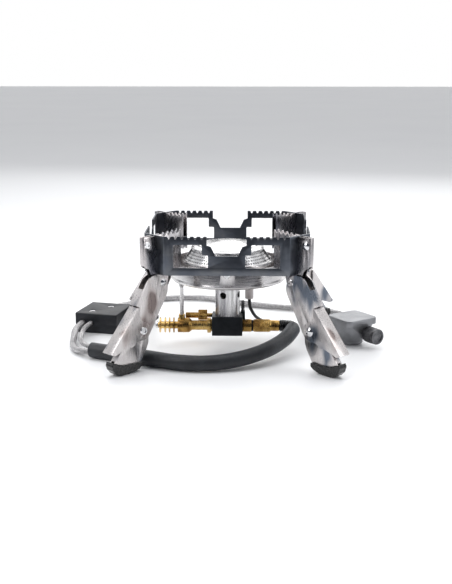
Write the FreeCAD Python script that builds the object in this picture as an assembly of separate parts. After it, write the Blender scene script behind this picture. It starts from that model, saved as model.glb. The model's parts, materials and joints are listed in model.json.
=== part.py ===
import FreeCAD, Part
import math
import os

from FreeCAD import Vector

# Folding gas stove, millimetres, +Z up, -Y is the front.
# The origin is on the floor, under the middle of the pot ring.

# Pot ring: an eight-sided band of stainless sheet, long sides square to X and Y
ringFlats = 143.0            # across the long sides, outside
ringSideHalf = 53.4          # half the length of a long side
ringTop = 116.0
ringBottom = 82.4
ringSheet = 1.2
toothPitch = 5.6
toothDepth = 2.3
firstTooth = 21.0            # first valley from the middle of a side
teethPerHalf = 6
notchBottom = 99.3
windowLow = 88.9
windowHigh = 109.0
tabReach = 11.0              # shelf that each side turns inwards at its foot
tabHalf = 7.0

# Corner brackets: folded fins that cross the short sides of the ring
finWidth = 5.6
finSheet = 1.0
finInner = 60.0
finOuter = 102.3
finTop = 115.4
finRise = 2.3                # the toothed end stands this much higher
finFoot = 87.0
lapHeight = 98.0             # the ring and a fin are notched to this height and interlock
shortSideRadius = 88.3       # from the axis to a short side, outside

# Legs, in a plane through the axis: (radius, height)
hip = (82.0, 74.0)
knee = (106.0, 35.5)
legAngles = {"front_right": -45.0, "front_left": -135.0, "rear_right": 45.0, "rear_left": 135.0}
legSheet = 1.2
upperWidth = 9.4
kneeWidth = 12.4
footWidth = 6.4
bootWidth = 9.6
hipPin = 2.0
kneePin = 2.4
pinFit = 0.05

# Burner
panRadius = 53.0
panBottom = 65.0
panTop = 82.2
panSheet = 1.0
skirtLow = 83.5
skirtHigh = 93.0
skirtFoot = 39.5
skirtHead = 32.5
tubeRadius = 11.4
tubeBore = 9.4
cupNeck = 14.0
tubeX = -0.9
airHole = 3.1
airHoleHeight = 50.2

# Manifold block and the brass on each side of it
blockX = (-15.0, 13.0)
blockY = (-12.0, 10.0)
blockZ = (12.6, 30.4)
gasY = -1.0
gasZ = 19.8
gasBore = 2.0
stayX = -43.3

# Igniter
igniterAt = (19.1, 41.0)
leadWidth = 3.2

# Hoses
sleeveWidth = 13.8
hoseWidth = 6.0
cableWidth = 4.6
elbowRadius = 9.5
elbowTurn = 110.0
elbowStart = 50.5

# Igniter box, standing to the left, and the canister valve, to the right
boxCentre = (-124.8, 62.0)
boxSize = (43.0, 46.0, 19.2)
boxTurn = -13.5
valveCentre = (115.8, 13.0)
valveTurn = 35.0
valveSize = (36.0, 34.0)
valveTop = 26.0
plateDeep = 6.0
bossRadius = 10.4
nutStart = 19.0              # from the valve's axis to the hose nut
nutEnd = 26.0                # from the valve's axis to the end of the hose nut
nutHeight = 12.0
nutTurn = -28.0              # the hose nut's own heading, against the valve's
knobX = 4.5                  # the knob's axis, beside the middle of the valve
knobAxisHeight = 12.0
knobRadius = 7.3
threadRadius = 5.56          # 7/16 inch Lindal thread
threadDepth = 7.6
sealRadius = 4.6             # gasket in a recess above the thread
sealThick = 1.4

parts = {}


def box(x0, x1, y0, y1, z0, z1):
    return Part.makeBox(x1 - x0, y1 - y0, z1 - z0, Vector(x0, y0, z0))


def rod(radius, start, end):
    way = Vector(*end) - Vector(*start)
    return Part.makeCylinder(radius, way.Length, Vector(*start), way)


def outline(points, axis):
    """A closed face from points in a plane: axis 'y' means (x, z) points, 'z' means (x, y)."""
    if axis == "y":
        corners = [Vector(a, 0, b) for a, b in points]
    else:
        corners = [Vector(a, b, 0) for a, b in points]
    return Part.Face(Part.makePolygon(corners + corners[:1]))


def slab(points, y0, y1):
    face = outline(points, "y")
    face.translate(Vector(0, y0, 0))
    return face.extrude(Vector(0, y1 - y0, 0))


def column(points, z0, z1):
    face = outline(points, "z")
    face.translate(Vector(0, 0, z0))
    return face.extrude(Vector(0, 0, z1 - z0))


def spin(points):
    """A solid turned round the Z axis from (radius, height) points."""
    return outline(points, "y").revolve(Vector(0, 0, 0), Vector(0, 0, 1), 360)


def spinAlongX(points, y, z):
    """A solid turned round a line along X from (x, radius) points."""
    corners = [Vector(a, y, z + b) for a, b in points]
    face = Part.Face(Part.makePolygon(corners + corners[:1]))
    return face.revolve(Vector(0, y, z), Vector(1, 0, 0), 360)


def hexBar(acrossFlats, length, place, direction):
    reach = acrossFlats / 2 / math.cos(math.pi / 6)
    corners = []
    for k in range(6):
        angle = math.pi / 3 * k
        corners.append(Vector(reach * math.cos(angle), reach * math.sin(angle), 0))
    bar = Part.Face(Part.makePolygon(corners + corners[:1])).extrude(Vector(0, 0, length))
    bar.Placement = FreeCAD.Placement(Vector(*place), FreeCAD.Rotation(Vector(0, 0, 1), Vector(*direction)))
    return bar


def roundedPath(points):
    """Straight runs joined by tangent arcs, each arc as large as its two runs allow."""
    spots = [Vector(*p) for p in points]
    edges = []
    radii = []
    last = spots[0]
    for before, here, after in zip(spots, spots[1:], spots[2:]):
        backWay = before - here
        onWay = after - here
        turn = math.pi - backWay.getAngle(onWay)
        reach = 0.45 * min(backWay.Length, onWay.Length)
        radii.append(reach / math.tan(turn / 2))
        arcStart = here + backWay.normalize() * reach
        arcEnd = here + onWay.normalize() * reach
        bisector = (backWay + onWay).normalize()
        gap = reach / math.cos((math.pi - turn) / 2) - radii[-1]
        middle = here + bisector * gap
        edges.append(Part.LineSegment(last, arcStart).toShape())
        edges.append(Part.Arc(arcStart, middle, arcEnd).toShape())
        last = arcEnd
    edges.append(Part.LineSegment(last, spots[-1]).toShape())
    return Part.Wire(edges), radii


def tube(name, points, width):
    path, radii = roundedPath(points)
    way = Vector(*points[1]) - Vector(*points[0])
    ring = Part.Wire(Part.makeCircle(width / 2, Vector(*points[0]), way))
    solid = path.makePipeShell([ring], True, False)
    ideal = math.pi * width * width / 4 * path.Length
    print(name, "length", round(path.Length, 1), "volume ratio", round(solid.Volume / ideal, 4))
    print("  radii", [round(r) for r in radii])
    return solid


def save(name, shape):
    parts[name] = shape


def octagon(inset):
    half = ringFlats / 2 - inset
    side = ringSideHalf - inset * math.tan(math.pi / 8)
    corners = [(side, -half), (half, -side), (half, side), (side, half)]
    corners += [(-a, -b) for a, b in corners]
    return corners


def windowOutline(sign):
    corners = [(-45.4, windowLow), (-15.9, windowLow), (-15.9, 100.1), (-21.0, 100.1)]
    corners += [(-21.0, windowHigh), (-45.4, windowHigh)]
    return [(sign * a, b) for a, b in corners]


def roundUpright(solid, radius, spots):
    """Round the edges along Y whose middle lies near one of the (x, z) spots."""
    edges = []
    for edge in solid.Edges:
        centre = edge.CenterOfMass
        for x, z in spots:
            if abs(centre.x - x) < 0.2 and abs(centre.z - z) < 0.2:
                edges.append(edge)
    return solid.makeFillet(radius, edges) if edges else solid


def makeRing():
    outer = column(octagon(0), ringBottom, ringTop)
    inner = column(octagon(ringSheet), ringBottom - 1, ringTop + 1)
    outer = outer.makeFillet(3.0, [e for e in outer.Edges if abs(e.Length - (ringTop - ringBottom)) < 0.01])
    inner = inner.makeFillet(1.8, [e for e in inner.Edges if abs(e.Length - (ringTop - ringBottom) - 2) < 0.01])
    band = outer.cut(inner)
    half = ringFlats / 2
    notch = [(-16.9, ringTop + 1), (-16.9, 108.5), (-13.4, 107.4), (-9.5, notchBottom)]
    notch += [(-a, b) for a, b in reversed(notch)]
    cuts = [slab(notch, -half - 2, -half + 4)]
    for sign in (1, -1):
        window = slab(windowOutline(sign), -half - 2, -half + 4)
        cuts.append(roundUpright(window, 0.9, windowOutline(sign)))
        for k in range(teethPerHalf):
            x = sign * (firstTooth + toothPitch * k)
            low = ringTop - toothDepth
            valley = [(x - 1.6, ringTop + 0.5), (x - 0.45, low), (x + 0.45, low), (x + 1.6, ringTop + 0.5)]
            cuts.append(slab(valley, -half - 2, -half + 4))
    sideCut = cuts[0].multiFuse(cuts[1:])
    tab = box(-tabHalf, tabHalf, -half + 0.6, -half + tabReach, ringBottom, ringBottom + ringSheet)
    tab = tab.fuse(rod(tabHalf, (0, -half + tabReach, ringBottom), (0, -half + tabReach, ringBottom + ringSheet)))
    tab = tab.cut(rod(1.65, (0, -half + tabReach, 80), (0, -half + tabReach, 90)))
    for k in range(4):
        turned = sideCut.copy()
        turned.rotate(Vector(0, 0, 0), Vector(0, 0, 1), 90 * k)
        band = band.cut(turned)
        shelf = tab.copy()
        shelf.rotate(Vector(0, 0, 0), Vector(0, 0, 1), 90 * k)
        band = band.fuse(shelf)
        lap = box(shortSideRadius - 4, shortSideRadius + 2, -finWidth / 2, finWidth / 2, 80, lapHeight)
        lap.rotate(Vector(0, 0, 0), Vector(0, 0, 1), 45 + 90 * k)
        band = band.cut(lap)
    save("pot_ring", band.removeSplitter())


def makeBracket():
    """One fin: two walls joined by a bend at the outer end, with a lug for the hip pin."""
    teeth = []
    slope = finRise / (shortSideRadius - finInner)
    high = lambda r: finTop + max(0.0, (shortSideRadius - r) * slope)
    wall = [(finInner, 84.0), (finInner, high(finInner))]
    for k in range(4):
        r = finInner + 1.2 + 5.2 * k
        wall += [(r, high(r)), (r + 1.4, high(r) - toothDepth), (r + 2.6, high(r) - toothDepth)]
        wall += [(r + 4.0, high(r + 4.0))]
    wall += [(shortSideRadius, finTop), (finOuter, finTop), (finOuter, finFoot + 6), (finOuter - 2, finFoot + 2)]
    wall += [(finOuter - 6, finFoot), (96.0, finFoot), (93.0, 80.0), (88.4, 71.5), (85.5, 68.4), (82.0, 67.4)]
    wall += [(78.5, 68.4), (76.3, 71.0), (75.4, 74.0), (73.5, 84.0)]
    solid = slab(wall, -finWidth / 2, finWidth / 2)
    hollow = box(finInner - 1, finOuter - 1.4, -finWidth / 2 + finSheet, finWidth / 2 - finSheet, 60, 130)
    solid = solid.cut(hollow)
    lapRadius = shortSideRadius - ringSheet / 2
    solid = solid.cut(box(lapRadius - 0.65, lapRadius + 0.65, -5, 5, lapHeight, 130))
    solid = solid.cut(rod(hipPin, (hip[0], -10, hip[1]), (hip[0], 10, hip[1])))
    solid = solid.cut(rod(2.0, (97.5, -10, 108.3), (97.5, 10, 108.3)))
    bend = [e for e in solid.Edges if abs(e.CenterOfMass.x - finOuter) < 0.01 and e.Length > 15]
    return solid.makeFillet(1.3, bend)


def rivet(spot, shank, half, domeSide, headRadius):
    """Dome on one side, a hollow set tail on the other; domeSide is +1 or -1 along local Y."""
    x, z = spot
    pin = rod(shank, (x, -half - 0.2, z), (x, half + 0.2, z))
    dome = Part.makeSphere(headRadius * 1.25, Vector(0, 0, 0))
    dome = dome.common(box(-9, 9, 0.75 * headRadius, 9, -9, 9))
    dome.translate(Vector(0, -0.75 * headRadius, 0))
    tail = Part.makeCone(shank + 1.2, shank + 0.7, 0.9, Vector(0, 0, 0), Vector(0, -1, 0))
    tail = tail.cut(rod(shank - 0.5, (0, -3, 0), (0, 0.1, 0)))
    if domeSide < 0:
        dome.rotate(Vector(0, 0, 0), Vector(0, 0, 1), 180)
        tail.rotate(Vector(0, 0, 0), Vector(0, 0, 1), 180)
    dome.translate(Vector(x, domeSide * half, z))
    tail.translate(Vector(x, -domeSide * half, z))
    return pin.fuse(dome).fuse(tail).removeSplitter()


def channel(profile, width, hollowProfile):
    """A folded channel: two walls of the profile, and a spine where the hollow doesn't reach."""
    inside = width / 2 - legSheet
    return slab(profile, -width / 2, width / 2).cut(slab(hollowProfile, -inside, inside))


def along(start, heading, across, u, v):
    return (start[0] + heading[0] * u + across[0] * v, start[1] + heading[1] * u + across[1] * v)


def legFrames():
    length = math.hypot(knee[0] - hip[0], knee[1] - hip[1])
    upper = ((knee[0] - hip[0]) / length, (knee[1] - hip[1]) / length)
    angle = math.radians(40.2)
    lower = (math.sin(angle), -math.cos(angle))
    return length, upper, (-upper[1], upper[0]), lower, (-lower[1], lower[0])


def arcPoints(cu, cv, radius, first, last, count):
    spots = []
    for k in range(count + 1):
        angle = math.radians(first + (last - first) * k / count)
        spots.append((cu + radius * math.cos(angle), cv + radius * math.sin(angle)))
    return spots


def makeUpperLink():
    length, heading, across, _, _ = legFrames()
    place = lambda spots: [along(hip, heading, across, u, v) for u, v in spots]
    wall = arcPoints(8.6, 4.0, 13.0, 270, 90, 14)
    wall += [(29.5, 17.0), (29.5, 13.6), (46.0, 9.0)]
    wall += arcPoints(length, 0.0, 9.0, 75, -90, 8)
    solid = slab(place(wall), -upperWidth / 2, upperWidth / 2)
    inside = upperWidth / 2 - legSheet
    hollow = [(14.0, 25.0), (-20.0, 25.0), (-20.0, -20.0), (70.0, -20.0), (70.0, 25.0), (29.6, 25.0)]
    hollow += [(29.6, 15.8), (14.0, 15.8)]
    solid = solid.cut(slab(place(hollow), -inside, inside))
    solid = solid.cut(rod(hipPin + pinFit, (hip[0], -10, hip[1]), (hip[0], 10, hip[1])))
    return solid.cut(rod(kneePin, (knee[0], -10, knee[1]), (knee[0], 10, knee[1])))


def makeKneeChannel():
    _, _, _, heading, across = legFrames()
    place = lambda spots: [along(knee, heading, across, u, v) for u, v in spots]
    wall = [(-12.6, 17.4), (-12.6, 15.4), (-6.2, 10.2)]
    wall += arcPoints(0, 0, 7.6, 145, 300, 8)
    wall += [(10.6, -0.8), (25.7, 9.2), (31.5, 12.6), (33.6, 15.4), (33.6, 17.4)]
    hollow = [(-30, 16.2), (-30, -20), (50, -20), (50, 16.2)]
    solid = channel(place(wall), kneeWidth, place(hollow))
    return solid.cut(rod(kneePin + pinFit, (knee[0], -10, knee[1]), (knee[0], 10, knee[1])))


def footProfile():
    _, _, _, heading, across = legFrames()
    place = lambda spots: [along(knee, heading, across, u, v) for u, v in spots]
    wall = place(arcPoints(0, 0, 8.6, 90, 215, 8))
    return wall + [(98.6, 24.0), (100.6, 18.6), (108.4, 6.6), (110.5, 4.2), (130.0, 3.6), (134.6, 6.2),
                   (136.6, 10.6)]


def makeFootLink():
    _, _, _, heading, across = legFrames()
    place = lambda spots: [along(knee, heading, across, u, v) for u, v in spots]
    hollow = place([(-30, 7.4), (-30, -30), (60, -30), (60, 7.4)])
    inside = footWidth / 2 - legSheet
    solid = slab(footProfile(), -footWidth / 2, footWidth / 2)
    solid = solid.cut(slab(hollow, -inside, inside))
    # the spine starts below the knee, so that the foot can fold into the upper link
    solid = solid.cut(slab(place([(-30, 7.3), (-30, 30), (10, 30), (10, 7.3)]), -inside, inside))
    # two spacer collars carry the knee channel on the narrower foot link
    for side in (1, -1):
        collar = rod(kneePin + 1.7, (118.0, side * (footWidth / 2 - 0.2), 27.0),
                     (118.0, side * (kneeWidth / 2 - legSheet), 27.0))
        solid = solid.fuse(collar)
    return solid.cut(rod(kneePin + pinFit, (knee[0], -10, knee[1]), (knee[0], 10, knee[1])))


def makeBoot(footLink):
    outside = [(106.9, 8.4), (106.9, 4.8), (110.0, 2.4), (116.0, 0.6), (120.0, 0.0), (130.0, 0.0), (134.6, 1.6),
               (138.2, 5.6), (139.4, 9.6), (138.6, 12.8), (136.0, 12.0), (128.0, 9.0), (116.0, 8.2)]
    solid = slab(outside, -bootWidth / 2, bootWidth / 2)
    rim = [e for e in solid.Edges if e.Length > bootWidth - 0.01 and abs(e.Length - bootWidth) < 0.01]
    solid = solid.makeFillet(0.5, rim)
    return solid.cut(footLink)


def makeLegs():
    bracket = makeBracket()
    upperLink = makeUpperLink()
    kneeChannel = makeKneeChannel()
    footLink = makeFootLink()
    boot = makeBoot(footLink)
    kneeRivet = rivet(knee, kneePin, kneeWidth / 2, -1, 4.1)
    hipRivets = []
    finRivets = []
    for name, angle in legAngles.items():
        def turned(shape):
            copy = shape.copy()
            copy.rotate(Vector(0, 0, 0), Vector(0, 0, 1), angle)
            return copy
        save("corner_bracket_" + name, turned(bracket))
        save("upper_leg_" + name, turned(upperLink))
        save("knee_channel_" + name, turned(kneeChannel))
        save("lower_leg_" + name, turned(footLink))
        save("foot_boot_" + name, turned(boot))
        save("knee_rivet_" + name, turned(kneeRivet))
        hipRivets.append(turned(rivet(hip, hipPin, upperWidth / 2, 1, 3.3)))
        finRivets.append(turned(rivet((97.5, 108.3), 2.0, finWidth / 2, -1, 3.9)))
    save("hip_rivets", Part.makeCompound(hipRivets))
    save("bracket_rivets", Part.makeCompound(finRivets))


def makePan():
    half = ringFlats / 2
    profile = [(cupNeck + 1.2, panBottom), (panRadius - 1.5, panBottom), (panRadius, panBottom + 1.5)]
    profile += [(panRadius, panBottom + 2.6), (panRadius - 1.2, panBottom + 3.8), (panRadius - 1.2, panTop)]
    profile += [(panRadius - 2.2, panTop), (panRadius - 2.2, panBottom + 3.4), (panRadius - 1.1, panBottom + 2.3)]
    profile += [(panRadius - 2.0, panBottom + 1.0), (cupNeck + 1.2, panBottom + 1.0)]
    pan = spin(profile)
    ear = box(-5.0, 5.0, -half + 6.5, -panRadius + 1.8, panTop - 1.0, panTop)
    ear = ear.fuse(rod(5.0, (0, -half + tabReach, panTop - 1.0), (0, -half + tabReach, panTop)))
    screws = []
    screwY = -half + tabReach
    head = rod(2.9, (0, screwY, ringBottom + ringSheet), (0, screwY, ringBottom + ringSheet + 1.9))
    head = head.cut(rod(1.3, (0, screwY, ringBottom + ringSheet + 0.9), (0, screwY, 90)))
    screw = head.fuse(rod(1.5, (0, screwY, 77.6), (0, screwY, ringBottom + ringSheet + 0.5)))
    nut = hexBar(5.5, 2.4, (0, screwY, panTop - 3.4), (0, 0, 1))
    screw = screw.fuse(nut)
    for k in range(4):
        turnedEar = ear.copy()
        turnedEar.rotate(Vector(0, 0, 0), Vector(0, 0, 1), 90 * k)
        pan = pan.fuse(turnedEar)
        hole = rod(1.6, (0, screwY, 75), (0, screwY, 90))
        hole.rotate(Vector(0, 0, 0), Vector(0, 0, 1), 90 * k)
        pan = pan.cut(hole)
        turnedScrew = screw.copy()
        turnedScrew.rotate(Vector(0, 0, 0), Vector(0, 0, 1), 90 * k)
        screws.append(turnedScrew)
    pan = pan.cut(rod(4.25, (*igniterAt, 60), (*igniterAt, 70)))
    save("drip_pan", pan.removeSplitter())
    save("pan_screws", Part.makeCompound(screws))


def makeBurner():
    flange = panBottom + 1.0
    profile = [(tubeRadius, 62.0), (cupNeck, 62.0), (cupNeck, flange), (18.0, flange), (18.0, 67.6)]
    profile += [(37.0, 78.5), (41.0, 80.0), (42.0, 81.6), (41.0, skirtLow), (38.3, skirtLow)]
    profile += [(38.3, 81.0), (14.0, 70.2), (tubeRadius, 68.4)]
    base = spin(profile)
    base.translate(Vector(tubeX, 0, 0))
    save("burner_cup", base)
    rise = skirtHigh - skirtLow
    skirt = spin([(skirtFoot, skirtLow), (skirtHead, skirtHigh), (skirtHead - 0.9, skirtHigh),
                  (skirtFoot - 0.9, skirtLow)])
    skirt.translate(Vector(tubeX, 0, 0))
    save("burner_skirt", skirt)
    cap = spin([(0, skirtHigh), (skirtHead + 0.6, skirtHigh), (skirtHead + 0.6, skirtHigh + 1.2),
                (skirtHead - 2.0, 95.4), (27.5, 95.6), (26.5, 96.8), (15.0, 97.1), (14.0, 97.8), (0, 98.0)])
    cap.translate(Vector(tubeX, 0, 0))
    save("burner_cap", cap)
    mixer = spin([(tubeBore, blockZ[1]), (tubeRadius, blockZ[1]), (tubeRadius, 68.0), (tubeBore, 68.0)])
    mixer.translate(Vector(tubeX, 0, 0))
    for k in range(4):
        angle = math.radians(-110 + 90 * k)
        end = (tubeX + 20 * math.cos(angle), 20 * math.sin(angle), airHoleHeight)
        mixer = mixer.cut(rod(airHole, (tubeX, 0, airHoleHeight), end))
    save("mixing_tube", mixer)


def makeManifold():
    block = box(*blockX, *blockY, *blockZ)
    uprights = [e for e in block.Edges if abs(e.Length - (blockZ[1] - blockZ[0])) < 0.01]
    block = block.makeFillet(0.8, uprights)
    block = block.fuse(box(11.4, 15.4, 4.0, 9.0, 24.0, 31.4))
    block = block.cut(rod(gasBore, (blockX[0] - 1, gasY, gasZ), (blockX[1] + 1, gasY, gasZ)))
    block = block.cut(rod(2.5, (tubeX, gasY, gasZ), (tubeX, gasY, blockZ[1] + 1)))
    block = block.cut(rod(1.1, (13.2, 6.6, 26), (13.2, 6.6, 33)))
    save("manifold_block", block)
    jet = hexBar(6.4, 3.6, (tubeX, gasY, blockZ[1]), (0, 0, 1))
    jet = jet.fuse(rod(2.5, (tubeX, gasY, gasZ + 3), (tubeX, gasY, blockZ[1] + 0.5)))
    jet = jet.fuse(Part.makeCone(2.6, 1.4, 3.0, Vector(tubeX, gasY, blockZ[1] + 3.6)))
    jet = jet.cut(rod(0.3, (tubeX, gasY, 20), (tubeX, gasY, 40)))
    save("gas_jet", jet)
    post = rod(1.1, (13.2, 6.6, 26), (13.2, 6.6, 35)).fuse(rod(1.9, (13.2, 6.6, 31.4), (13.2, 6.6, 33.0)))
    for k in range(4):
        post = post.fuse(rod(1.9, (13.2, 6.6, 34.2 + 2 * k), (13.2, 6.6, 35.3 + 2 * k)))
    post = post.fuse(rod(1.3, (13.2, 6.6, 34), (13.2, 6.6, 42)))
    save("air_screw", post)


def makeLeftBrass():
    profile = [(-64.2, 0), (-64.2, 3.4)]
    for k in range(4):
        x = (-63.9, -59.3, -55.3, -51.2)[k]
        profile += [(x, 3.4), (x, 7.1), (x + 1.2, 7.1), (x + 1.2, 3.4)]
    profile += [(-47.0, 3.4), (-47.0, 6.9), (-36.5, 6.9), (-33.8, 4.5), (-19.5, 4.5), (-19.5, 7.1)]
    profile += [(-16.3, 7.1), (-16.3, 5.6), (-15.0, 5.6), (-15.0, 0)]
    barrel = spinAlongX(profile, gasY, gasZ)
    barrel = barrel.cut(rod(1.4, (-50, gasY, gasZ), (-14, gasY, gasZ)))
    boss = rod(2.9, (stayX, gasY, gasZ + 5.0), (stayX, gasY, gasZ + 10.4))
    barrel = barrel.fuse(boss).cut(rod(1.5, (stayX, gasY, gasZ + 6.0), (stayX, gasY, 40)))
    save("finned_barrel", barrel.removeSplitter())
    save("barrel_tip", spinAlongX([(-64.2, 0), (-64.2, 2.4), (-65.6, 3.1), (-67.2, 3.1), (-68.2, 2.0), (-68.2, 0)],
                                  gasY, gasZ))
    stay = rod(1.5, (stayX, gasY, gasZ + 6.0), (stayX, gasY, 33))
    stay = stay.fuse(rod(1.9, (stayX, gasY, gasZ + 10.4), (stayX, gasY, 56)))
    stay = stay.fuse(Part.makeCone(1.9, 3.2, 7.0, Vector(stayX, gasY, 56)))
    stay = stay.fuse(rod(3.2, (stayX, gasY, 63), (stayX, gasY, panBottom)))
    save("pan_stay", stay)
    spigotY = 6.0
    spigotZ = 27.6
    spigot = rod(2.7, (-40.2, spigotY, spigotZ), (-28.3, spigotY, spigotZ))
    spigot = spigot.makeChamfer(0.5, [e for e in spigot.Edges if abs(e.CenterOfMass.x + 40.2) < 0.01])
    spigot = spigot.fuse(hexBar(9.4, 8.4, (-28.3, spigotY, spigotZ), (1, 0, 0)))
    spigot = spigot.fuse(rod(1.9, (-20.0, spigotY, spigotZ), (blockX[0], spigotY, spigotZ)))
    save("side_spigot", spigot.removeSplitter())


def makeRightBrass():
    inlet = spinAlongX([(13.0, 0), (13.0, 5.9), (21.4, 5.9), (21.4, 3.6), (26.0, 3.6), (26.0, 0)], gasY, gasZ)
    save("inlet_ring", inlet.cut(rod(gasBore, (12, gasY, gasZ), (30, gasY, gasZ))))
    seal = spinAlongX([(21.4, 3.6), (21.4, 5.3), (22.7, 5.3), (22.7, 3.6)], gasY, gasZ)
    save("inlet_o_ring", seal)
    sleeve = spinAlongX([(22.7, 0), (22.7, 5.0), (23.4, 5.6), (38.6, 5.6), (39.4, 5.0), (46.6, 5.0), (47.6, 4.4),
                         (47.6, 3.0), (52.0, 3.0), (52.0, 0)], gasY, gasZ)
    sleeve = sleeve.cut(rod(3.6, (22, gasY, gasZ), (26, gasY, gasZ)))
    sleeve = sleeve.cut(rod(1.6, (20, gasY, gasZ), (60, gasY, gasZ)))
    save("knurled_coupling", sleeve)


def elbowEnd():
    angle = math.radians(elbowTurn)
    end = (elbowStart + elbowRadius * math.sin(angle), gasY - elbowRadius + elbowRadius * math.cos(angle), gasZ)
    return end, (math.cos(-angle), math.sin(-angle), 0)


def makeElbow():
    """Short rubber elbow that turns the hose back towards the front."""
    end, heading = elbowEnd()
    centre = Vector(elbowStart, gasY - elbowRadius, gasZ)
    half = math.radians(elbowTurn / 2)
    middle = centre + Vector(math.sin(half), math.cos(half), 0) * elbowRadius
    start = Vector(47.6, gasY, gasZ)
    bend = Vector(elbowStart, gasY, gasZ)
    path = Part.Wire([Part.LineSegment(start, bend).toShape(), Part.Arc(bend, middle, Vector(*end)).toShape()])
    circle = Part.Wire(Part.makeCircle(5.5, start, Vector(1, 0, 0)))
    elbow = path.makePipeShell([circle], True, False)
    elbow = elbow.cut(rod(3.0, (46, gasY, gasZ), (52.0, gasY, gasZ)))
    save("hose_elbow", elbow)


def makeIgniter():
    x, y = igniterAt
    insulator = rod(4.2, (x, y, 35.6), (x, y, 76.0)).fuse(Part.makeCone(4.2, 2.2, 5.0, Vector(x, y, 76.0)))
    insulator = insulator.fuse(rod(5.2, (x, y, panBottom + 1.0), (x, y, panBottom + 2.6)))
    insulator = insulator.cut(rod(0.8, (x, y, 35), (x, y, 90)))
    save("igniter_insulator", insulator)
    tipX, tipY = x * 0.9, y * 0.9
    pin = rod(0.8, (x, y, 37.6), (x, y, 86.0)).fuse(Part.makeSphere(0.8, Vector(x, y, 86.0)))
    pin = pin.fuse(rod(0.8, (x, y, 86.0), (tipX, tipY, 88.0)))
    save("igniter_pin", pin)
    lead = [(x, y, 35.6), (x + 0.4, y, 27.0), (24.5, 33.0, 20.0), (31.0, 20.5, 18.6), (40.0, 11.0, 19.0),
            (49.4, 5.2, 19.6)]
    save("igniter_lead", tube("igniter_lead", lead, leadWidth))


def sleeveRoute():
    (ex, ey, ez), _ = elbowEnd()
    return [(ex, ey, ez), (55.6, -26.5, 17.8), (48.0, -40.5, 15.2), (35.5, -55.5, 12.2), (17.5, -69.5, 9.4),
            (-3.5, -78.4, 7.6), (-26.0, -80.8, 7.0), (-46.8, -75.8, 6.9), (-64.8, -66.0, 6.9),
            (-93.0, -54.4, 6.9), (-122.0, -40.6, 6.9)]


def hoseRoute():
    """Braided gas hose: out of the sleeve, through the igniter box and round behind to the valve."""
    return [(-123.5, -42.6, 5.6), (-133.2, -35.4, 4.2), (-140.4, -25.0, 3.3), (-144.4, -11.4, 3.6),
            (-145.6, 4.0, 5.0), (-147.2, 18.0, 7.6), (-146.3, 32.2, 9.6), (-131.4, 94.5, 9.6),
            (-121.0, 124.0, 5.4), (-106.0, 149.0, 3.2), (-84.0, 168.0, 3.1), (-56.0, 176.4, 3.1),
            (-26.0, 174.0, 3.2), (2.0, 158.0, 3.1), (28.0, 143.0, 3.1), (56.0, 134.4, 3.2),
            (82.0, 128.6, 3.1), (102.5, 120.0, 3.1), (115.0, 106.0, 3.2), (117.0, 88.0, 4.4),
            (112.4, 70.0, 8.6), valveExit(14.0), valveExit(0.0)]


def cableRoute():
    """Ignition cable, beside the gas hose, from the sleeve into the front of the igniter box."""
    return [(-121.2, -37.6, 7.9), (-129.2, -30.6, 8.3), (-134.8, -20.4, 8.3), (-137.6, -7.0, 8.5),
            (-138.6, 8.6, 9.0), (-138.8, 25.0, 9.8), boxSpot(-5.0, -boxSize[1] / 2, 10.0)]


def boxSpot(x, y, z):
    angle = math.radians(boxTurn)
    return (boxCentre[0] + x * math.cos(angle) - y * math.sin(angle),
            boxCentre[1] + x * math.sin(angle) + y * math.cos(angle), z)


def valveExit(reach):
    """A point on the line of the hose nut, at the back of the valve, reach beyond the nut's end."""
    angle = math.radians(valveTurn + nutTurn)
    y = nutEnd + reach
    return (valveCentre[0] - y * math.sin(angle), valveCentre[1] + y * math.cos(angle), nutHeight)


def makeHoses():
    save("sleeved_hose", tube("sleeved_hose", sleeveRoute(), sleeveWidth))
    save("braided_hose", tube("braided_hose", hoseRoute(), hoseWidth))
    save("ignition_cable", tube("ignition_cable", cableRoute(), cableWidth))


def turnedBox(shape, centre, turn):
    shape.rotate(Vector(0, 0, 0), Vector(0, 0, 1), turn)
    shape.translate(Vector(centre[0], centre[1], 0))
    return shape


def makeIgniterBox():
    wide, deep, high = boxSize
    split = high * 0.46
    lower = box(-wide / 2, wide / 2, -deep / 2, deep / 2, 0, split)
    upper = box(-wide / 2, wide / 2, -deep / 2, deep / 2, split, high)
    pick = lambda s: [e for e in s.Edges if e.Vertexes[0].Point.distanceToPoint(e.Vertexes[-1].Point) < high]
    lower = lower.makeFillet(1.6, pick(lower))
    upper = upper.makeFillet(1.6, pick(upper))
    top = [e for e in upper.Edges if abs(e.CenterOfMass.z - high) < 0.01]
    upper = upper.makeChamfer(0.6, top)
    screws = []
    for sx, sy in ((-8.0, -11.0), (3.5, 10.0)):
        upper = upper.cut(rod(3.4, (sx, sy, high - 2.2), (sx, sy, high + 1)))
        upper = upper.cut(rod(1.6, (sx, sy, split - 1), (sx, sy, high)))
        lower = lower.cut(rod(1.6, (sx, sy, split - 5), (sx, sy, split + 1)))
        screw = rod(3.0, (sx, sy, high - 2.2), (sx, sy, high - 0.4))
        screw = screw.fuse(rod(1.6, (sx, sy, split - 5), (sx, sy, high - 2.1)))
        screw = screw.cut(box(sx - 2.2, sx + 2.2, sy - 0.4, sy + 0.4, high - 1.2, high))
        screw = screw.cut(box(sx - 0.4, sx + 0.4, sy - 2.2, sy + 2.2, high - 1.2, high))
        screws.append(screw)
    way = rod(hoseWidth / 2 + 0.3, (-14.0, -deep, 9.6), (-14.0, deep, 9.6))
    lower = lower.cut(way)
    upper = upper.cut(way)
    save("igniter_box_lower", turnedBox(lower, boxCentre, boxTurn))
    save("igniter_box_upper", turnedBox(upper, boxCentre, boxTurn))
    save("igniter_box_screws", turnedBox(Part.makeCompound(screws), boxCentre, boxTurn))


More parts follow.
